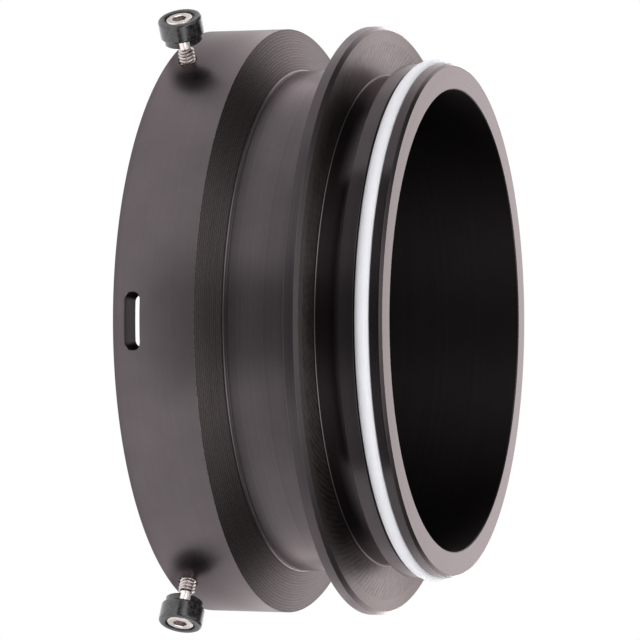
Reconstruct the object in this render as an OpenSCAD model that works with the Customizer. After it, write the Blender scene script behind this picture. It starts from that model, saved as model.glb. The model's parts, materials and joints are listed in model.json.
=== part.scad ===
// Open adapter tube: a clamp collar with three thumbscrews, and a flanged tube whose nose has a locking groove
// behind its land and a seal ring in it. The turned parts share the +Z axis.
// The origin is the centre of the collar's rear face, +Z points to the nose, and the index slot faces -Y.

/* [Clamp collar] */
// Outside diameter of the clamp collar
collar_od = 128; // [126:0.5:134]
// Bore that takes the mating tube
collar_bore = 115.8; // [114:0.1:116.6]
// Height of the collar's straight outer wall
collar_h = 17.7; // [16:0.1:22]
// Slope of the bevelled front face
bevel_angle = 17; // [5:1:20]
// Depth of the rear bore, from the rear face to the seat
seat_depth = 12.5; // [10.5:0.1:13.5]

/* [Index slot] */
// Length of the slot around the collar
slot_l = 12; // [6:0.5:20]
// Width of the slot along the axis
slot_w = 3.24; // [2:0.02:4]
// Height of the slot's centre above the rear face
slot_z = 4.23; // [3:0.01:6]

/* [Neck and flange] */
// Outside diameter of the neck
neck_od = 109.6; // [109:0.1:110.6]
// Diameter of the bore right through the part
light_bore = 100; // [97:0.1:101]
// Outside diameter of the flange
flange_od = 128; // [120:0.5:134]
// Height of the flange's rear face
flange_z = 36.7; // [34.5:0.1:37.5]
// Height of the flange's front face
flange_top = 39.65; // [38.8:0.05:41]
// Chamfer on the flange's front edge
flange_chamfer = 0.8; // [0.3:0.05:1]

/* [Nose] */
// Outside diameter of the hub behind the land
hub_od = 106.4; // [105:0.1:107]
// Outside diameter of the land that enters the mating socket
land_od = 111.4; // [110.8:0.1:112]
// Height of the land's rear edge
land_z = 45.62; // [44:0.01:46.5]
// Height of the nose's front face
nose_top = 54.8; // [54:0.1:58]

/* [Seal] */
// Diameter of the seal ring's section
seal_d = 3.2; // [2.8:0.05:3.2]
// Outside diameter of the seal ring
seal_od = 113; // [112.6:0.1:113.2]
// Height of the groove's rear wall
groove_z = 48.75; // [48:0.05:48.9]
// Height of the groove's front wall
groove_top = 52.15; // [52.1:0.05:52.4]

/* [Thumbscrews] */
// Height of the screws above the rear face
screw_z = 4.3; // [3:0.1:6]
// Outside diameter of the thread
thread_d = 3.5; // [3:0.05:3.6]
// Gap between the knob and the collar with the screws backed out
knob_gap = 4.4; // [3.5:0.1:6]
// Length of the smooth neck that shows under the knob
screw_neck_l = 1.7; // [1:0.1:2]
// Outside diameter of the knob
knob_od = 9.3; // [8.8:0.1:9.5]
// Height of the knob
knob_h = 5.5; // [5.3:0.1:6]

/* [Hidden] */
$fn = 96;
ring_fn = 360;
fillet_steps = 6;

collar_r = collar_od / 2;
bore_r = collar_bore / 2;
neck_r = neck_od / 2;
light_r = light_bore / 2;
flange_r = flange_od / 2;
hub_r = hub_od / 2;
land_r = land_od / 2;
knob_r = knob_od / 2;

// Edge breaks and corner fillets of the turned parts.
edge = 0.3;
fine_edge = 0.15;
neck_fillet = 0.7;
hub_fillet = 0.5;
nose_chamfer = 0.6;

// Radial clearance of parts that are screwed or pressed together, and of parts that turn in each other.
joint_fit = 0.02;
turning_fit = 0.05;

// The tube's tail is screwed into the collar's web, and its shoulder stands on the collar's short upstand.
tail_r = neck_r - 1.4;
bevel_fillet_z = collar_h + (collar_r - neck_r - neck_fillet) * tan(bevel_angle) + neck_fillet / cos(bevel_angle);
joint_z = bevel_fillet_z + 0.25;

// Thumbscrew places around the axis, and the lengths along the radius s that each screw lies on.
screw_turns = [-30, 210, 90];
// How far each knob is turned about its own screw, which is where its boss slots point.
knob_turns = [67, 23, 45];
knob_s = collar_r + knob_gap;
boss_h = 1.5;
boss_r = 0.88 * knob_r;
boss_slot_w = 2.2;
screw_neck_r = 0.3 * thread_d;
thread_end_s = knob_s - screw_neck_l;
thread_lead = 0.35;
head_r = 0.82 * thread_d;
head_h = thread_d;
head_s = knob_s + knob_h - head_h - 0.1;
head_edge = 0.35;
socket_across_flats = 2.78;
socket_depth = 1.8;
tip_s = bore_r + 0.2;
tip_h = 1.8;
tip_r = 1.35;
tip_stem_r = 0.7;
tip_stem_l = 1.5;
screw_start_s = tip_s + tip_h + turning_fit;
screw_hole_r = thread_d / 2 + turning_fit;
countersink_r = 2.2;

// Points on an arc of radius r about the centre c, from angle t0 to angle t1.
function arc(c, r, t0, t1) =
    [for (i = [0:fillet_steps]) let (t = t0 + (t1 - t0) * i / fillet_steps) c + r * [cos(t), sin(t)]];

// Lays a child that is built along +Z out along the radius at one of the three screw places.
module on_radius(turn)
    rotate([0, 0, turn]) translate([0, 0, screw_z]) rotate([0, 90, 0]) children();

// A solid of revolution about a screw's own axis, from [radius, s] points.
module turned_on_radius(turn, points)
    on_radius(turn) rotate_extrude() polygon(points);

module index_slot() {
    half = (slot_l - slot_w) / 2;
    through = 2 * (collar_r - bore_r) + 4;
    translate([0, -collar_r, slot_z]) rotate([90, 0, 0]) {
        cube([2 * half, slot_w, through], center = true);
        for (side = [-1, 1])
            translate([side * half, 0, 0]) cylinder(d = slot_w, h = through, center = true);
    }
}

module screw_hole(turn) {
    start = bore_r - 2;
    mouth = collar_r - 0.1;
    turned_on_radius(turn, [
        [0, start], [screw_hole_r, start], [screw_hole_r, mouth - countersink_r + screw_hole_r],
        [countersink_r, mouth], [countersink_r, collar_r + 1], [0, collar_r + 1]]);
}

module clamp_collar()
    color([0.13, 0.12, 0.12]) difference() {
        rotate_extrude($fn = ring_fn) polygon(concat(
            [[bore_r, 0], [collar_r - edge, 0], [collar_r, edge], [collar_r, collar_h]],
            arc([neck_r + neck_fillet, bevel_fillet_z], neck_fillet, bevel_angle - 90, -180),
            [[neck_r, joint_z - fine_edge], [neck_r - fine_edge, joint_z], [tail_r + joint_fit, joint_z],
             [tail_r + joint_fit, seat_depth], [bore_r, seat_depth]]));
        index_slot();
        for (turn = screw_turns) screw_hole(turn);
    }

module flanged_tube() {
    groove_r = seal_od / 2 - seal_d - joint_fit;
    color([0.11, 0.10, 0.10]) rotate_extrude($fn = ring_fn) polygon(concat(
        [[light_r, seat_depth], [tail_r, seat_depth], [tail_r, joint_z], [neck_r - fine_edge, joint_z],
         [neck_r, joint_z + fine_edge]],
        arc([neck_r + hub_fillet, flange_z - hub_fillet], hub_fillet, 180, 90),
        [[flange_r - fine_edge, flange_z], [flange_r, flange_z + fine_edge],
         [flange_r, flange_top - flange_chamfer], [flange_r - flange_chamfer, flange_top]],
        arc([hub_r + hub_fillet, flange_top + hub_fillet], hub_fillet, -90, -180),
        [[hub_r, land_z], [land_r - fine_edge, land_z], [land_r, land_z + fine_edge],
         [land_r, groove_z], [groove_r, groove_z], [groove_r, groove_top], [land_r, groove_top],
         [land_r, nose_top - nose_chamfer], [land_r - nose_chamfer, nose_top],
         [light_r + edge, nose_top], [light_r, nose_top - edge]]));
}

// The ring lies against the groove's front wall.
module seal_ring()
    color([0.93, 0.93, 0.95]) translate([0, 0, groove_top - joint_fit - seal_d / 2])
        rotate_extrude($fn = ring_fn) translate([(seal_od - seal_d) / 2, 0]) circle(d = seal_d);

// Socket cap screw with a reduced neck under its head, and a blind hole in its end for the swivel tip.
module clamp_screw(turn) {
    thread_r = thread_d / 2;
    stem_hole_r = tip_stem_r + turning_fit;
    stem_hole_end = screw_start_s + tip_stem_l;
    head_top = head_s + head_h;
    color([0.72, 0.69, 0.66]) difference() {
        turned_on_radius(turn, [
            [stem_hole_r, screw_start_s], [thread_r - thread_lead, screw_start_s],
            [thread_r, screw_start_s + thread_lead], [thread_r, thread_end_s - thread_lead],
            [screw_neck_r, thread_end_s], [screw_neck_r, head_s], [head_r, head_s],
            [head_r, head_top - head_edge], [head_r - head_edge, head_top],
            [0, head_top], [0, stem_hole_end], [stem_hole_r, stem_hole_end]]);
        on_radius(turn) translate([0, 0, head_top - socket_depth])
            cylinder(d = socket_across_flats / cos(30), h = socket_depth + 1, $fn = 6);
    }
}

// Knob pressed over the screw's head: a wide grip on a narrower boss, which two crossing slots split into fingers.
module knob(turn, own_turn) {
    shank_hole_r = thread_d / 2 + 0.2;
    recess_r = head_r + joint_fit;
    top = knob_s + knob_h;
    step_s = knob_s + boss_h;
    color([0.09, 0.09, 0.10]) difference() {
        turned_on_radius(turn, [
            [shank_hole_r, knob_s], [boss_r - edge, knob_s], [boss_r, knob_s + edge], [boss_r, step_s],
            [knob_r - edge, step_s], [knob_r, step_s + edge], [knob_r, top - edge], [knob_r - edge, top],
            [recess_r + fine_edge, top], [recess_r, top - fine_edge], [recess_r, head_s - joint_fit],
            [shank_hole_r, head_s - joint_fit]]);
        on_radius(turn) translate([0, 0, step_s - boss_h]) for (slot_turn = [own_turn, own_turn + 90])
            rotate([0, 0, slot_turn]) cube([4 * boss_r, boss_slot_w, 2 * boss_h], center = true);
    }
}

// Soft tip that stays still against the mating tube while the screw turns behind it.
module screw_tip(turn) {
    back = tip_s + tip_h;
    stem_end = back + tip_stem_l;
    color([0.90, 0.88, 0.82]) turned_on_radius(turn, [
        [0, tip_s], [tip_r - edge, tip_s], [tip_r, tip_s + edge], [tip_r, back],
        [tip_stem_r, back], [tip_stem_r, stem_end], [0, stem_end]]);
}

clamp_collar();
flanged_tube();
seal_ring();
clamp_screw(screw_turns[0]);  // clamp_screw_a
clamp_screw(screw_turns[1]);  // clamp_screw_b
clamp_screw(screw_turns[2]);  // clamp_screw_c
knob(screw_turns[0], knob_turns[0]);  // knob_a
knob(screw_turns[1], knob_turns[1]);  // knob_b
knob(screw_turns[2], knob_turns[2]);  // knob_c
screw_tip(screw_turns[0]);  // screw_tip_a
screw_tip(screw_turns[1]);  // screw_tip_b
screw_tip(screw_turns[2]);  // screw_tip_c
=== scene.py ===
"""Looks of the open adapter tube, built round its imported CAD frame.

The turned parts are lathed round the frame's +Z axis. Each thumbscrew is lathed along its own axis and laid
out on the radius that its joint states. Lengths are in metres, and sizes that are read more easily in
millimetres carry MM. Inside the materials, radius, height and spacing are in millimetres.
"""
import json
import math

import bmesh
import bpy
from mathutils import Matrix, Vector


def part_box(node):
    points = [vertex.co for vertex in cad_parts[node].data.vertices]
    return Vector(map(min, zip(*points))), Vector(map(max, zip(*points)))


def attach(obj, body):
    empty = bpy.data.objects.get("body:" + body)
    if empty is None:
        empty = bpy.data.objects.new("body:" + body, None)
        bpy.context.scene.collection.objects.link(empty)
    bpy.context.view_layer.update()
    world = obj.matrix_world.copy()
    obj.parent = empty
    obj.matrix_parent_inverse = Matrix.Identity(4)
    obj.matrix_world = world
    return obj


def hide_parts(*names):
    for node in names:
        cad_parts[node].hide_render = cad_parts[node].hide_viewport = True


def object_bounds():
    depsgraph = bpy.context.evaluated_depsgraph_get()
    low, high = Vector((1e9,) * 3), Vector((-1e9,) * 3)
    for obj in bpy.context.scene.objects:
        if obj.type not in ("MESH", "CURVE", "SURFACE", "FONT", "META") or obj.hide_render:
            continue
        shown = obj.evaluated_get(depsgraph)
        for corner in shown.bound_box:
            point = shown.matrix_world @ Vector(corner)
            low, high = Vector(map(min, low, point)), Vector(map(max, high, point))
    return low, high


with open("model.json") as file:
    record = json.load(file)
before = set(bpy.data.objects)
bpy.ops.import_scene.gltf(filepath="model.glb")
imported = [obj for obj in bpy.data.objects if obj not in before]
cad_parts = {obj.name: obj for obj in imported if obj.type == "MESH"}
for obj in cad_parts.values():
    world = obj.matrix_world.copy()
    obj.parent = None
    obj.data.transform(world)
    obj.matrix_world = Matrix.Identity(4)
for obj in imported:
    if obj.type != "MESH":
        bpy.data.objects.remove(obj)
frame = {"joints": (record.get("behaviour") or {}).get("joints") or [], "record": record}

cad_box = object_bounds()

MM = 0.001
RING_SEGMENTS = 512
SCREW_SEGMENTS = 96
ARC_STEP = math.radians(15)  # longest step along a rounded corner
CREASE = math.radians(40)    # corners sharper than this stay crisp
ON_AXIS = 0.0001 * MM        # a smaller radius counts as 0
SLIVER = 0.0005 * MM         # points closer than this become one

MOUNTS = {mount["name"]: mount["dims"] for mount in frame["record"]["mounts"]}
COLLAR_BORE_R = MOUNTS["collar_bore"]["r_mm"] * MM
LIGHT_BORE_R = MOUNTS["light_bore"]["r_mm"] * MM
LAND_R = MOUNTS["nose_land"]["r_mm"] * MM

COLLAR_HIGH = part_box("clamp_collar")[1]
TUBE_LOW, TUBE_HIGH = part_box("flanged_tube")
SEAL_LOW, SEAL_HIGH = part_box("seal_ring")

# Radii and heights that the collar and the tube share.
NECK_R = 54.8 * MM
TAIL_R = 53.4 * MM
SEAT_Z = TUBE_LOW.z
JOINT_Z = COLLAR_HIGH.z
JOINT_FIT = 0.02 * MM

# Thumbscrew c lies along +Y, so its pieces' Y ranges are their ranges along the screw's own axis.
SCREW_LOW, SCREW_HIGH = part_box("clamp_screw_c")
KNOB_LOW, KNOB_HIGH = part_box("knob_c")
TIP_LOW, TIP_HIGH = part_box("screw_tip_c")
HEAD_H = 3.5 * MM
THREAD_PITCH = 0.79375 * MM

# How far the slots in each knob's boss are turned round its screw, in degrees.
KNOB_TURNS = {"a": 67, "b": 23, "c": 45}


# ---------------------------------------------------------------- meshes

def rounded_outline(corners):
    """Closed outline of (radius, height, finish) points from corners of (radius, height, rounding, finish).

    A corner's rounding is the radius of the arc that replaces it. Its finish belongs to the side that leaves
    the corner.
    """
    outline = []
    for i, (r, z, rounding, finish) in enumerate(corners):
        if rounding == 0:
            outline.append((r, z, finish))
            continue
        here = Vector((r, z))
        before = (Vector(corners[i - 1][:2]) - here).normalized()
        after = (Vector(corners[(i + 1) % len(corners)][:2]) - here).normalized()
        opening = before.angle(after)
        centre = here + (before + after).normalized() * rounding / math.sin(opening / 2)
        reach = rounding / math.tan(opening / 2)
        start, end = here + before * reach - centre, here + after * reach - centre
        turn = start.angle_signed(end)
        steps = max(3, math.ceil(abs(turn) / ARC_STEP))
        for k in range(steps + 1):
            point = centre + Matrix.Rotation(-turn * k / steps, 2) @ start
            outline.append((point.x, point.y, finish))
    return outline


def object_from(name, bm, materials=()):
    """Turns a closed bmesh into an object of the scene."""
    bmesh.ops.recalc_face_normals(bm, faces=bm.faces)
    mesh = bpy.data.meshes.new(name)
    bm.to_mesh(mesh)
    bm.free()
    for material in materials:
        mesh.materials.append(material)
    obj = bpy.data.objects.new(name, mesh)
    bpy.context.scene.collection.objects.link(obj)
    return obj


def bridge(bm, low, high, finish=0):
    """Faces between two rings of vertices. Where a ring is one vertex, they are triangles or nothing."""
    for k in range(len(low)):
        after = (k + 1) % len(low)
        corners = list(dict.fromkeys([low[k], low[after], high[after], high[k]]))
        if len(corners) > 2:
            bm.faces.new(corners).material_index = finish


def revolve(name, rows, materials, segments):
    """Closed skin round Z through rows of (height, function from turn to radius, finish).

    A row at radius 0 becomes one vertex on the axis, and the last row joins the first.
    """
    turns = [2 * math.pi * k / segments for k in range(segments)]
    bm = bmesh.new()
    rings = []
    for height, radius_at, _ in rows:
        if radius_at(0) < ON_AXIS:
            rings.append([bm.verts.new((0, 0, height))] * segments)
        else:
            spots = ((radius_at(t) * math.cos(t), radius_at(t) * math.sin(t), height) for t in turns)
            rings.append([bm.verts.new(spot) for spot in spots])
    for i, (_, _, finish) in enumerate(rows):
        bridge(bm, rings[i], rings[(i + 1) % len(rings)], finish)
    return object_from(name, bm, materials)


def steady(radius):
    """The radius function of a plain round row."""
    return lambda turn: radius


def lathe(name, outline, materials, segments):
    """Revolves a closed outline of (radius, height, finish) points round Z."""
    rows = [(z, steady(r), finish) for r, z, finish in outline]
    return revolve(name, rows, materials, segments)


def carve(obj, cutters):
    """Cuts each closed cutter out of obj, closes up the slivers that this leaves, and removes the cutters."""
    for cutter in cutters:
        cut = obj.modifiers.new("cut", "BOOLEAN")
        cut.operation = "DIFFERENCE"
        cut.solver = "EXACT"
        cut.object = cutter
    carved = bpy.data.meshes.new_from_object(obj.evaluated_get(bpy.context.evaluated_depsgraph_get()))
    obj.modifiers.clear()
    bm = bmesh.new()
    bm.from_mesh(carved)
    bmesh.ops.remove_doubles(bm, verts=bm.verts, dist=SLIVER)
    bm.to_mesh(carved)
    bm.free()
    obj.data = carved
    for cutter in cutters:
        bpy.data.objects.remove(cutter)


def smooth(obj):
    """Smooth shading that keeps flat faces flat and real corners crisp."""
    obj.data.shade_smooth()
    obj.data.set_sharp_from_angle(angle=CREASE)
    weighted = obj.modifiers.new("weighted_normals", "WEIGHTED_NORMAL")
    weighted.keep_sharp = True


def stand_for(obj, body, node):
    """Finishes a piece: it rides on its body and stands for its CAD node."""
    smooth(obj)
    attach(obj, body)
    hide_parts(node)


# ---------------------------------------------------------------- materials

class Nodes:
    """Short calls for building a node tree."""

    def __init__(self, tree):
        self.tree = tree

    def add(self, kind, inputs=None, **settings):
        node = self.tree.nodes.new("ShaderNode" + kind)
        for key, value in settings.items():
            setattr(node, key, value)
        for key, value in (inputs or {}).items():
            if isinstance(value, bpy.types.NodeSocket):
                self.tree.links.new(value, node.inputs[key])
            else:
                node.inputs[key].default_value = value
        return node

    def math(self, operation, a, b=0.0):
        return self.add("Math", {0: a, 1: b}, operation=operation).outputs[0]

    def remap(self, value, low, high, to_low, to_high):
        made = self.add("MapRange", {"Value": value, "From Min": low, "From Max": high,
                                     "To Min": to_low, "To Max": to_high})
        return made.outputs["Result"]

    def vector(self, x, y=0.0):
        return self.add("CombineXYZ", {0: x, 1: y}).outputs[0]

    def from_noise(self, value, to_low, to_high):
        """Maps the usual range of a noise to another range."""
        return self.remap(value, 0.3, 0.7, to_low, to_high)

    def noise(self, place, scale, detail, roughness=0.5):
        made = self.add("TexNoise", {"Vector": place, "Scale": scale, "Detail": detail,
                                     "Roughness": roughness})
        return made.outputs["Fac"]

    def between(self, amount, first, second):
        """The colour that lies this amount of the way from the first to the second."""
        return self.add("Mix", {0: amount, 6: (*first, 1), 7: (*second, 1)}, data_type="RGBA").outputs[2]

    def place(self):
        """The surface point in the piece's own frame."""
        return self.add("TexCoord").outputs["Object"]


class Finish:
    """A new material and its node helper."""

    def __init__(self, name):
        self.material = bpy.data.materials.new(name)
        self.material.use_nodes = True
        self.nodes = Nodes(self.material.node_tree)
        self.shader = self.material.node_tree.nodes["Principled BSDF"]

    def give(self, name, value):
        """Sets or links an input of the material's Principled node."""
        if isinstance(value, bpy.types.NodeSocket):
            self.material.node_tree.links.new(value, self.shader.inputs[name])
        else:
            self.shader.inputs[name].default_value = value

    def skin(self, colour, roughness, relief, strength, depth):
        """Colour, roughness and a bump from the relief, whose depth is in millimetres."""
        bump = self.nodes.add("Bump", {"Height": relief, "Strength": strength, "Distance": depth * MM})
        self.give("Base Color", colour)
        self.give("Roughness", roughness)
        self.give("Normal", bump.outputs[0])

    def turned_metal(self, anisotropy):
        """Metal with tool rings round the piece's own Z axis."""
        self.give("Metallic", 1.0)
        self.give("Anisotropic", anisotropy)
        self.give("Tangent", self.nodes.add("Tangent", direction_type="RADIAL", axis="Z").outputs[0])


def lathe_coordinates(nodes):
    """Radius and height in millimetres, and the angle round the axis, at each surface point."""
    split = nodes.add("SeparateXYZ", {0: nodes.place()})
    x, y, z = (split.outputs[k] for k in range(3))
    length = nodes.add("VectorMath", {0: nodes.vector(x, y)}, operation="LENGTH").outputs["Value"]
    radius = nodes.math("DIVIDE", length, MM)
    height = nodes.math("DIVIDE", z, MM)
    angle = nodes.math("ARCTAN2", y, x)
    return radius, height, angle


def anodised(name, reflectance, roughness, ring_depth, anisotropy, streaks=0.03, grooves=0.0, chatter=0.0):
    """Black anodised aluminium with the marks of the lathe tool.

    ring_depth is the height of the fine tool rings in millimetres. streaks, grooves and chatter are the
    contrast of wide rings, of evenly spaced feed marks, and of the swirled marks on a faced surface.
    """
    finish = Finish(name)
    nodes = finish.nodes
    radius, height, angle = lathe_coordinates(nodes)

    # Rings change quickly along the profile and hardly at all round the axis. The height's share isn't 1,
    # because a 45 degree chamfer would then have no rings.
    height_share, rings_per_mm, ring_drift, band_scale = 1.31, 4.5, 0.15, 0.16
    profile = nodes.math("ADD", radius, nodes.math("MULTIPLY", height, height_share))
    drift = nodes.math("MULTIPLY", nodes.math("SINE", angle), ring_drift)
    along = nodes.vector(nodes.math("MULTIPLY", profile, rings_per_mm), drift)
    rings = nodes.noise(along, scale=1.0, detail=3.0, roughness=0.6)
    bands = nodes.noise(along, scale=band_scale, detail=4.0, roughness=0.7)

    # The dye is slightly cloudy.
    cloud_scale, cloudiness = 90.0, 0.07
    cloud = nodes.noise(nodes.place(), scale=cloud_scale, detail=6.0, roughness=0.65)

    shade = nodes.math("ADD", nodes.from_noise(bands, 1 - streaks, 1 + streaks),
                       nodes.from_noise(cloud, -cloudiness, cloudiness))
    if grooves:
        shade = nodes.math("MULTIPLY", shade, feed_marks(nodes, profile, angle, grooves))
    # With chatter, the face also gets a painted highlight on its rim band and painted shade towards its hub.
    if chatter:
        shade = nodes.math("MULTIPLY", shade, swirl_marks_and_painted_light(nodes, radius, angle, chatter))
    tint = nodes.add("VectorMath", {0: reflectance, "Scale": shade}, operation="SCALE")
    rough_swing = 0.04
    rough = nodes.math("ADD", roughness, nodes.from_noise(rings, -rough_swing, rough_swing))
    finish.skin(tint.outputs[0], rough, rings, strength=1.0, depth=ring_depth)

    # Fine rings spread the light across themselves, so the highlight is turned a quarter from the tangent.
    finish.turned_metal(anisotropy)
    finish.give("Anisotropic Rotation", 0.25)
    finish.give("Specular Tint", (0.97, 0.90, 0.91, 1))
    return finish.material


def feed_marks(nodes, profile, angle, contrast):
    """Evenly spaced grooves along the profile, broken up round the axis."""
    spacing, breaks_per_radian, breaks_per_mm, jump = 0.36, 150.0, 2.0, 2.2
    spot = nodes.vector(nodes.math("MULTIPLY", angle, breaks_per_radian),
                        nodes.math("MULTIPLY", profile, breaks_per_mm))
    shift = nodes.from_noise(nodes.noise(spot, scale=1.0, detail=3.0), -jump, jump)
    phase = nodes.math("ADD", nodes.math("MULTIPLY", profile, 2 * math.pi / spacing), shift)
    return nodes.remap(nodes.math("SINE", phase), -1.0, 1.0, 1 - contrast, 1 + contrast)


def swirl_marks_and_painted_light(nodes, radius, angle, contrast):
    """Leaning strokes of a facing cut, in rows, which fade at the rim.

    A painted highlight lights the rim band, and painted shade darkens the hub side.
    """
    # Painted light: the rim factor paints a highlight on the outer band of the face, and the hub factor
    # paints shade near the hub.
    rim, rim_painted_highlight, rim_contrast = 60.6, 1.35, 0.25
    hub, hub_painted_shade = 56.0, 0.70
    per_radian, lean_per_mm, scratch_per_mm = 105.0, 2.4, 0.6
    stroke_rate, stroke_wander, row_height = 1.83, 1.2, 1.2
    faintest, boldest = 0.3, 1.4
    lean = nodes.math("ADD", nodes.math("MULTIPLY", angle, per_radian),
                      nodes.math("MULTIPLY", radius, lean_per_mm))
    spot = nodes.vector(lean, nodes.math("MULTIPLY", radius, scratch_per_mm))
    scratches = nodes.noise(spot, scale=0.6, detail=4.0, roughness=0.7)

    wander = nodes.from_noise(scratches, -stroke_wander, stroke_wander)
    stroke = nodes.math("SINE", nodes.math("ADD", nodes.math("MULTIPLY", lean, stroke_rate), wander))
    row = nodes.math("SINE", nodes.math("MULTIPLY", radius, 2 * math.pi / row_height))
    strokes = nodes.math("MULTIPLY", stroke, nodes.remap(row, -1.0, 1.0, faintest, boldest))
    swing = nodes.math("ADD", nodes.remap(scratches, 0.35, 0.65, -1.0, 1.0), strokes)

    strength = nodes.remap(radius, rim - 0.5, rim + 0.3, contrast, rim_contrast * contrast)
    # level is painted light: a painted highlight on the rim band and painted shade towards the hub.
    level = nodes.math("MULTIPLY", nodes.remap(radius, rim - 0.2, rim + 0.2, 1.0, rim_painted_highlight),
                       nodes.remap(radius, hub - 2.0, hub + 3.0, hub_painted_shade, 1.0))
    return nodes.math("MULTIPLY", level, nodes.math("ADD", 1.0, nodes.math("MULTIPLY", swing, strength)))


def stainless_steel():
    """Bright turned steel of the clamp screws, slightly warm, with faint stains."""
    finish = Finish("stainless")
    nodes = finish.nodes
    grain = nodes.noise(nodes.place(), scale=2600.0, detail=4.0)
    stain = nodes.noise(nodes.place(), scale=500.0, detail=3.0)
    amount = nodes.remap(stain, 0.35, 0.7, 0.0, 1.0)
    colour = nodes.between(amount, (0.72, 0.66, 0.65), (0.55, 0.49, 0.47))
    finish.skin(colour, nodes.from_noise(grain, 0.26, 0.38), grain, strength=0.2, depth=0.01)
    finish.turned_metal(anisotropy=0.3)
    return finish.material


def moulded_black():
    """Black moulded plastic of the knobs, with a faint spark-eroded grain."""
    finish = Finish("knob_black")
    nodes = finish.nodes
    grain = nodes.noise(nodes.place(), scale=3500.0, detail=2.0)
    cloud = nodes.noise(nodes.place(), scale=1300.0, detail=3.0)
    amount = nodes.remap(cloud, 0.35, 0.65, 0.0, 1.0)
    colour = nodes.between(amount, (0.009, 0.008, 0.009), (0.034, 0.031, 0.033))
    finish.skin(colour, nodes.from_noise(cloud, 0.14, 0.22), grain, strength=0.35, depth=0.02)
    finish.give("IOR", 1.55)
    return finish.material


def white_rubber():
    """Soft white seal ring with a faintly mottled, matt skin."""
    finish = Finish("white_seal")
    nodes = finish.nodes
    mottle = nodes.noise(nodes.place(), scale=300.0, detail=5.0, roughness=0.6)
    colour = nodes.between(mottle, (0.79, 0.79, 0.83), (0.86, 0.86, 0.90))
    finish.skin(colour, nodes.from_noise(mottle, 0.55, 0.70), mottle, strength=0.6, depth=0.05)
    finish.give("Subsurface Weight", 0.25)
    finish.give("Subsurface Radius", (1.0, 0.9, 0.8))
    finish.give("Subsurface Scale", 0.6 * MM)
    return finish.material


def turned_nylon():
    """Ivory nylon of the swivel tips, with tool rings."""
    finish = Finish("nylon")
    nodes = finish.nodes
    radius, height, _ = lathe_coordinates(nodes)
    rings = nodes.noise(nodes.vector(nodes.math("ADD", radius, height)), scale=9.0, detail=3.0)
    colour = nodes.between(rings, (0.80, 0.77, 0.68), (0.87, 0.85, 0.77))
    finish.skin(colour, nodes.from_noise(rings, 0.38, 0.55), rings, strength=0.5, depth=0.02)
    finish.give("Subsurface Weight", 0.4)
    finish.give("Subsurface Scale", 1.0 * MM)
    return finish.material


# ---------------------------------------------------------------- turned parts

def index_slot_cutter():
    """Slot with round ends that follows the collar's curve, with a small even chamfer at its mouth."""
    half_l, half_w, centre_z = 6.0 * MM, 1.62 * MM, 4.23 * MM
    chamfer, over = 0.14 * MM, 3 * MM
    outer_r = COLLAR_HIGH.x
    layers = [(COLLAR_BORE_R - over, 0), (outer_r - chamfer, 0), (outer_r + chamfer, 2 * chamfer),
              (outer_r + over, 2 * chamfer)]
    end_steps, side_steps = 16, 12
    end_turns = [math.pi * (k / end_steps - 0.5) for k in range(end_steps + 1)]
    straight = half_l - half_w
    bm = bmesh.new()
    rings = []
    for r, grow in layers:
        w = half_w + grow
        outline = []
        for side in (1, -1):
            outline += [(side * (straight + w * math.cos(t)), -side * w * math.sin(t)) for t in end_turns]
            outline += [(side * straight * (1 - 2 * k / side_steps), -side * w) for k in range(1, side_steps)]
        turns = [(along / outer_r, up) for along, up in outline]
        rings.append([bm.verts.new((r * math.sin(t), -r * math.cos(t), centre_z + up)) for t, up in turns])
    for low, high in zip(rings, rings[1:]):
        bridge(bm, low, high)
    bm.faces.new(rings[0])
    bm.faces.new(rings[-1][::-1])
    return object_from("slot_cutter", bm)


def screw_hole_cutter(place):
    """Tapped hole with a countersunk mouth, through the collar's wall on a screw's axis."""
    hole_r, mouth_r, mouth_depth, mouth_land, over = 1.8 * MM, 2.2 * MM, 0.45 * MM, 0.05 * MM, 2 * MM
    outer_r = COLLAR_HIGH.x
    start, end = COLLAR_BORE_R - over, outer_r + MM
    outline = [(0, start, 0), (hole_r, start, 0), (hole_r, outer_r - mouth_depth, 0),
               (mouth_r, outer_r - mouth_land, 0), (mouth_r, end, 0), (0, end, 0)]
    cutter = lathe("hole_cutter", outline, [], SCREW_SEGMENTS)
    cutter.matrix_world = place
    return cutter


def make_collar(finishes, places):
    """Collar wall, 17 degree bevel, the fillet at its foot, and the upstand under the tube's shoulder."""
    outer_r, wall_h = COLLAR_HIGH.x, 17.7 * MM
    foot_z = wall_h + (outer_r - NECK_R) * math.tan(math.radians(17))
    web_r = TAIL_R + JOINT_FIT
    wall, bevel, bore = 0, 1, 2
    corners = [
        (COLLAR_BORE_R, 0, 0.25 * MM, wall), (outer_r, 0, 0.3 * MM, wall),
        (outer_r, wall_h, 0.12 * MM, bevel), (NECK_R, foot_z, 0.5 * MM, wall),
        (NECK_R, JOINT_Z, 0.12 * MM, wall), (web_r, JOINT_Z, 0, bore),
        (web_r, SEAT_Z, 0, bore), (COLLAR_BORE_R, SEAT_Z, 0.2 * MM, bore)]
    collar = lathe("collar_turned", rounded_outline(corners), finishes, RING_SEGMENTS)
    carve(collar, [index_slot_cutter()] + [screw_hole_cutter(place) for place in places])
    stand_for(collar, "adapter", "clamp_collar")


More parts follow.
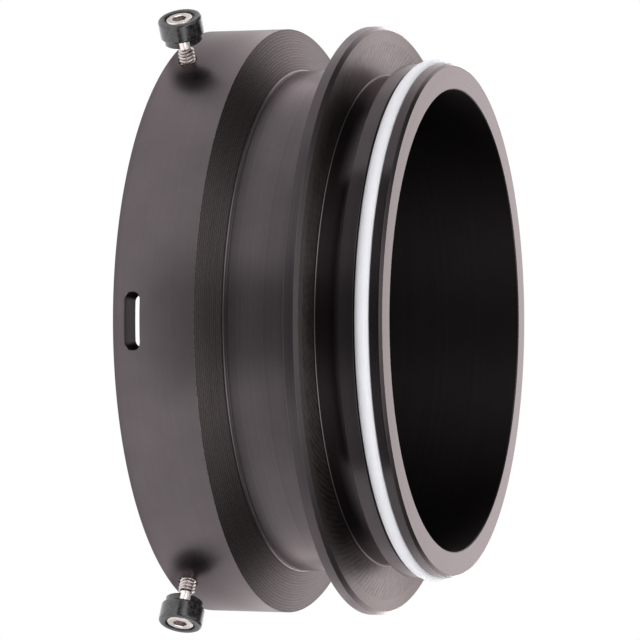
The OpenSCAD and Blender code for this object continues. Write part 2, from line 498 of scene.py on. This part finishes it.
def make_tube(finishes):
    """Tail, neck, flange, hub and nose in one turned piece, with the seal groove near the nose."""
    flange_r, nose_top = TUBE_HIGH.x, TUBE_HIGH.z
    flange_z, flange_top, flange_chamfer = 36.7 * MM, 39.65 * MM, 0.8 * MM
    hub_r, land_z = 53.2 * MM, 45.62 * MM
    groove_z, groove_top = 48.75 * MM, 52.15 * MM
    groove_r = SEAL_HIGH.x - (SEAL_HIGH.z - SEAL_LOW.z) - JOINT_FIT
    nose_chamfer = 0.6 * MM
    crisp, edge, groove_fillet = 0.08 * MM, 0.12 * MM, 0.15 * MM
    wall, faced, fine, bore, land = 0, 1, 2, 3, 4
    corners = [
        (LIGHT_BORE_R, SEAT_Z, 0.2 * MM, wall), (TAIL_R, SEAT_Z, 0.1 * MM, wall), (TAIL_R, JOINT_Z, 0, wall),
        (NECK_R, JOINT_Z, edge, wall), (NECK_R, flange_z, 0.5 * MM, wall),
        (flange_r, flange_z, edge, wall), (flange_r, flange_top - flange_chamfer, crisp, wall),
        (flange_r - flange_chamfer, flange_top, crisp, faced), (hub_r, flange_top, 0.35 * MM, land),
        (hub_r, land_z, 0.2 * MM, land), (LAND_R, land_z, edge, land), (LAND_R, groove_z, crisp, land),
        (groove_r, groove_z, groove_fillet, land), (groove_r, groove_top, groove_fillet, land),
        (LAND_R, groove_top, crisp, land), (LAND_R, nose_top - nose_chamfer, crisp, land),
        (LAND_R - nose_chamfer, nose_top, crisp, fine), (LIGHT_BORE_R, nose_top, 0.25 * MM, bore)]
    tube = lathe("tube_turned", rounded_outline(corners), finishes, RING_SEGMENTS)
    stand_for(tube, "adapter", "flanged_tube")


def make_seal(material):
    """Seal ring of round section."""
    section_r = (SEAL_HIGH.z - SEAL_LOW.z) / 2
    centre_r = SEAL_HIGH.x - section_r
    centre_z = (SEAL_HIGH.z + SEAL_LOW.z) / 2
    steps = 48
    turns = [2 * math.pi * k / steps for k in range(steps)]
    outline = [(centre_r + section_r * math.cos(t), centre_z + section_r * math.sin(t), 0) for t in turns]
    seal = lathe("seal_ring_round", outline, [material], RING_SEGMENTS)
    stand_for(seal, "adapter", "seal_ring")


# ---------------------------------------------------------------- thumbscrews

def screw_place(letter):
    """A thumbscrew's own frame, with its origin on the tube's axis and +Z outwards along the joint's axis."""
    joint = next(j for j in frame["joints"] if j["name"] == f"knob_turn_{letter}")
    outwards = -Vector(joint["axis"])
    point = Vector(joint["pos_m"])
    origin = point - outwards * point.dot(outwards)
    up = Vector((0, 0, 1))
    return Matrix.Translation(origin) @ Matrix((up.cross(outwards), up, outwards)).transposed().to_4x4()


def thread_rows(start, end, major_r, minor_r):
    """Rows of a right-hand helical thread that fades out at both ends."""
    rows_per_turn, crest_power = 24, 0.8
    count = round((end - start) / THREAD_PITCH * rows_per_turn)
    fade = 0.5 * THREAD_PITCH

    def row(s):
        room = max(0.0, min(1.0, (s - start) / fade, (end - s) / fade))

        def radius_at(turn):
            phase = s / THREAD_PITCH * 2 * math.pi - turn
            crest = (0.5 + 0.5 * math.cos(phase)) ** crest_power
            return minor_r + (major_r - minor_r) * crest * room

        return s, radius_at, 0

    return [row(start + (end - start) * k / count) for k in range(count + 1)]


def make_screw(letter, place, material):
    """Socket cap screw: hex socket, cap head, reduced neck, helical thread and a blind hole for the stem."""
    start, top = SCREW_LOW.y, SCREW_HIGH.y
    major_r, minor_r, neck_r, head_r = 1.75 * MM, 1.22 * MM, 1.05 * MM, 2.87 * MM
    hole_r, hole_end = 0.75 * MM, start + 1.5 * MM
    neck_l, neck_taper, head_fillet, head_edge = 1.7 * MM, 0.25 * MM, 0.2 * MM, 0.35 * MM
    thread_end = KNOB_LOW.y - neck_l
    head_s = top - HEAD_H
    edge_steps = 5
    edge_turns = (math.pi / 2 * k / edge_steps for k in range(edge_steps + 1))

    hole = [(0, hole_end), (hole_r, hole_end), (hole_r, start)]
    neck = [(neck_r, thread_end + neck_taper), (neck_r, head_s - head_fillet), (neck_r + head_fillet, head_s)]
    edge = [(head_r + head_edge * (math.cos(t) - 1), top + head_edge * (math.sin(t) - 1)) for t in edge_turns]
    rows = [(s, steady(r), 0) for r, s in hole]
    rows += thread_rows(start, thread_end, major_r, minor_r)
    rows += [(s, steady(r), 0) for r, s in neck + [(head_r, head_s)] + edge + [(0, top)]]
    screw = revolve(f"clamp_screw_{letter}_threaded", rows, [material], SCREW_SEGMENTS)
    carve(screw, [hex_socket_cutter(top)])
    screw.matrix_world = place
    stand_for(screw, f"thumbscrew_{letter}", f"clamp_screw_{letter}")


def hex_socket_cutter(top):
    """Hexagonal socket with a drilled cone at its bottom and a small countersink at its mouth."""
    across_flats = 2.78 * MM
    corner_r = across_flats / 2 / math.cos(math.radians(30))
    cone_r, cone_h = 0.8 * corner_r, 0.4 * MM
    bottom, mouth, over = top - 1.8 * MM, 0.14 * MM, 0.5 * MM
    outline = [(0, bottom - cone_h, 0), (cone_r, bottom, 0), (corner_r, bottom, 0),
               (corner_r, top - mouth, 0), (corner_r + mouth + over, top + over, 0), (0, top + over, 0)]
    return lathe("socket_cutter", outline, [], 6)


def boss_slot_cutter(bottom, turn, place):
    """One of the two crossing slots that split the knob's boss into fingers."""
    width, length, depth = 2.2 * MM, 12 * MM, 1.5 * MM
    bm = bmesh.new()
    bmesh.ops.create_cube(bm, size=1)
    cutter = object_from("boss_slot", bm)
    cutter.matrix_world = (place @ Matrix.Translation((0, 0, bottom))
                           @ Matrix.Rotation(math.radians(turn), 4, "Z")
                           @ Matrix.Diagonal((length, width, 2 * depth, 1)))
    return cutter


def make_knob(letter, place, turn, material):
    """Knob: a wide grip with the screw's head sunk in its top, on a narrower boss of four fingers."""
    bottom, top, grip_r = KNOB_LOW.y, KNOB_HIGH.y, KNOB_HIGH.x
    boss_r, step = 0.88 * grip_r, bottom + 1.5 * MM
    head_s = SCREW_HIGH.y - HEAD_H - JOINT_FIT
    shank_r, recess_r, mouth_r, mouth_s = 1.95 * MM, 2.89 * MM, 3.22 * MM, top - 0.5 * MM
    corners = [
        (shank_r, bottom, 0.1 * MM, 0), (boss_r, bottom, 0.35 * MM, 0), (boss_r, step, 0, 0),
        (grip_r, step, 0.35 * MM, 0), (grip_r, top, 0.5 * MM, 0), (mouth_r, top, 0.2 * MM, 0),
        (mouth_r, mouth_s, 0.05 * MM, 0), (recess_r, mouth_s, 0.03 * MM, 0), (recess_r, head_s, 0, 0),
        (shank_r, head_s, 0, 0)]
    knob = lathe(f"knob_{letter}_moulded", rounded_outline(corners), [material], SCREW_SEGMENTS)
    knob.matrix_world = place
    bpy.context.view_layer.update()
    carve(knob, [boss_slot_cutter(bottom, turn + across, place) for across in (0, 90)])
    stand_for(knob, f"thumbscrew_{letter}", f"knob_{letter}")


def make_tip(letter, place, material):
    """Swivel tip: a rounded pad on a thin stem that sits in the screw's end."""
    bottom, top, pad_r = TIP_LOW.y, TIP_HIGH.y, TIP_HIGH.x
    stem_r, back = 0.7 * MM, bottom + 1.8 * MM
    corners = [
        (0, bottom, 0, 0), (pad_r, bottom, 0.4 * MM, 0), (pad_r, back, 0.12 * MM, 0),
        (stem_r, back, 0.1 * MM, 0), (stem_r, top, 0.15 * MM, 0), (0, top, 0, 0)]
    tip = lathe(f"screw_tip_{letter}_nylon", rounded_outline(corners), [material], SCREW_SEGMENTS)
    tip.matrix_world = place
    stand_for(tip, f"tip_{letter}", f"screw_tip_{letter}")


# ---------------------------------------------------------------- studio

def window(nodes, value, low, high, softness):
    """1 between low and high, fading to 0 within the softness on both sides of each."""
    rise = nodes.remap(value, low - softness, low + softness, 0.0, 1.0)
    fall = nodes.remap(value, high - softness, high + softness, 1.0, 0.0)
    return nodes.math("MULTIPLY", rise, fall)


def glow_patch(nodes, radius, facing, reach, side, strength):
    """Glow of one patch of the table, between two radii and between two values of facing.

    Radii are in metres from the axis. Facing runs from -1 in front of the part to 1 behind it.
    """
    radius_softness, facing_softness = 0.008, 0.035
    spread = nodes.math("MULTIPLY", window(nodes, radius, *reach, radius_softness),
                        window(nodes, facing, *side, facing_softness))
    return nodes.math("MULTIPLY", spread, strength)


def make_floor():
    """Table under the part, plain white to a camera above it and clear to one below it.

    To the part it is a dark table with patches that glow: dimly round the part and brightly far behind it.
    """
    size, gap = 6, 0.1 * MM
    bpy.ops.mesh.primitive_plane_add(size=size, location=(0, 0, cad_box[0][2] - gap))
    floor = bpy.context.object
    floor.name = "floor"
    material = bpy.data.materials.new("floor")
    material.use_nodes = True
    nodes = Nodes(material.node_tree)
    geometry = nodes.add("NewGeometry")
    split = nodes.add("SeparateXYZ", {0: geometry.outputs["Position"]})
    x, y = split.outputs[0], split.outputs[1]
    radius = nodes.add("VectorMath", {0: nodes.vector(x, y)}, operation="LENGTH").outputs["Value"]
    facing = nodes.math("DIVIDE", y, radius)

    part_r, near_r, middle_r, far_r, end_r = 0.060, 0.09, 0.16, 0.30, 9
    front_end, back_end, front_sector, back_sector = -2, 2, -0.5, 0.4
    camera_wedge = -0.955  # one patch leaves out a narrow wedge towards the camera
    patches = [
        glow_patch(nodes, radius, facing, (part_r, middle_r), (front_end, back_end), 0.8),
        glow_patch(nodes, radius, facing, (middle_r, far_r), (front_sector, back_end), 0.8),
        glow_patch(nodes, radius, facing, (part_r, near_r), (front_end, front_sector), 1.0),
        glow_patch(nodes, radius, facing, (near_r, middle_r), (camera_wedge, back_sector), 1.0),
        glow_patch(nodes, radius, facing, (far_r, end_r), (back_sector, back_end), 5.0)]
    glow = patches[0]
    for patch in patches[1:]:
        glow = nodes.math("ADD", glow, patch)

    camera_ray = nodes.add("LightPath").outputs["Is Camera Ray"]
    table = nodes.add("Emission", {"Strength": glow})
    white = nodes.add("Emission", {"Strength": 1.0})
    top = nodes.add("MixShader", {0: camera_ray, 1: table.outputs[0], 2: white.outputs[0]})
    from_below = nodes.math("MULTIPLY", camera_ray, geometry.outputs["Backfacing"])
    clear = nodes.add("BsdfTransparent")
    mix = nodes.add("MixShader", {0: from_below, 1: top.outputs[0], 2: clear.outputs[0]})
    output = material.node_tree.nodes["Material Output"]
    material.node_tree.links.new(mix.outputs[0], output.inputs["Surface"])
    floor.data.materials.append(material)


def make_world():
    """Dark studio with soft round lamps. The camera sees plain white behind the table.

    Each lamp is (azimuth from +Y, elevation, strength), with its angles in degrees. A lamp off the Y axis has
    a twin on the other side.
    """
    backdrop = [(0, 5, 2.0), (40, 5, 2.0), (0, 25, 1.0)]
    sides = [(115, 35, 2.0), (145, 30, 4.0), (145, 55, 0.8)]
    above_camera = [(180, 45, 0.8)]
    overhead = [(0, 88, 2.0), (0, 50, 0.6), (80, 30, 0.5)]
    focus = 24.0  # a higher power makes each lamp smaller
    world = bpy.data.worlds.new("studio")
    bpy.context.scene.world = world
    world.use_nodes = True
    nodes = Nodes(world.node_tree)
    background = world.node_tree.nodes["Background"]
    towards = nodes.add("TexCoord").outputs["Generated"]
    level = 0.0
    for azimuth, elevation, strength in backdrop + sides + above_camera + overhead:
        for side in ((1,) if azimuth in (0, 180) else (1, -1)):
            a, e = math.radians(side * azimuth), math.radians(elevation)
            lamp = (math.sin(a) * math.cos(e), math.cos(a) * math.cos(e), math.sin(e))
            aligned = nodes.add("VectorMath", {0: towards, 1: lamp}, operation="DOT_PRODUCT").outputs["Value"]
            spot = nodes.math("POWER", nodes.math("MAXIMUM", aligned, 0.0), focus)
            level = nodes.math("ADD", level, nodes.math("MULTIPLY", spot, strength))
    camera_ray = nodes.add("LightPath").outputs["Is Camera Ray"]
    lamps = nodes.math("MULTIPLY", level, nodes.math("SUBTRACT", 1.0, camera_ray))
    background.inputs["Color"].default_value = (1, 1, 1, 1)
    world.node_tree.links.new(nodes.math("MAXIMUM", lamps, camera_ray), background.inputs["Strength"])


def make_camera():
    """Camera 17 degrees above the part, turned a quarter so that the tube's axis runs across the picture."""
    elevation = math.radians(17.248)
    distance = 0.7297
    pivot = Vector((0, 0, 0.040))         # the elevation and distance are measured from here
    aim = Vector((-0.00017, 0, 0.02319))  # the point at the picture's centre
    roll = Matrix.Rotation(math.radians(-0.07), 3, "Z")
    camera = bpy.data.cameras.new("camera")
    camera.lens = 188.17
    camera.clip_end = 20
    obj = bpy.data.objects.new("camera", camera)
    bpy.context.scene.collection.objects.link(obj)
    place = pivot + distance * Vector((0, -math.cos(elevation), math.sin(elevation)))
    forward = (aim - place).normalized()
    right = Vector((1, 0, 0)).cross(forward).normalized()
    rotation = Matrix((right, right.cross(forward), -forward)).transposed() @ roll
    obj.matrix_world = Matrix.Translation(place) @ rotation.to_4x4()
    bpy.context.scene.camera = obj


# ---------------------------------------------------------------- the whole object

satin = anodised("anodised_satin", (0.082, 0.070, 0.075), roughness=0.30, ring_depth=0.003, anisotropy=0.6)
turned = anodised("anodised_turned", (0.078, 0.067, 0.072), roughness=0.30, ring_depth=0.005, anisotropy=0.6,
                  streaks=0.14)
bevelled = anodised("anodised_bevel", (0.110, 0.094, 0.095), roughness=0.50, ring_depth=0.006,
                    anisotropy=0.88, streaks=0.12, grooves=0.42)
# The faced finish carries a painted highlight on the flange's outer band and painted shade towards the hub.
faced = anodised("anodised_faced_painted_light", (0.077, 0.067, 0.064), roughness=0.35, ring_depth=0.006, anisotropy=0.97,
                 streaks=0.08, chatter=0.45)
land = anodised("anodised_land", (0.085, 0.073, 0.078), roughness=0.23, ring_depth=0.003, anisotropy=0.6,
                streaks=0.12)
fine = anodised("anodised_fine", (0.085, 0.073, 0.073), roughness=0.26, ring_depth=0.003, anisotropy=0.3)
# Painted shade: the bores and inner faces get a darker copy of the anodising, which stands in for the shade
# inside the tube.
bore_painted_shade_anodising = anodised("anodised_bore_painted_shade", (0.042, 0.036, 0.038), roughness=0.40, ring_depth=0.003, anisotropy=0.5,
                     streaks=0.15)

places = {letter: screw_place(letter) for letter in KNOB_TURNS}
make_collar([satin, bevelled, bore_painted_shade_anodising], places.values())
make_tube([turned, faced, fine, bore_painted_shade_anodising, land])
make_seal(white_rubber())

steel, plastic, nylon = stainless_steel(), moulded_black(), turned_nylon()
for letter, place in places.items():
    make_screw(letter, place, steel)
    make_knob(letter, place, KNOB_TURNS[letter], plastic)
    make_tip(letter, place, nylon)

make_floor()
make_world()
make_camera()
bpy.context.scene.view_settings.view_transform = "Standard"
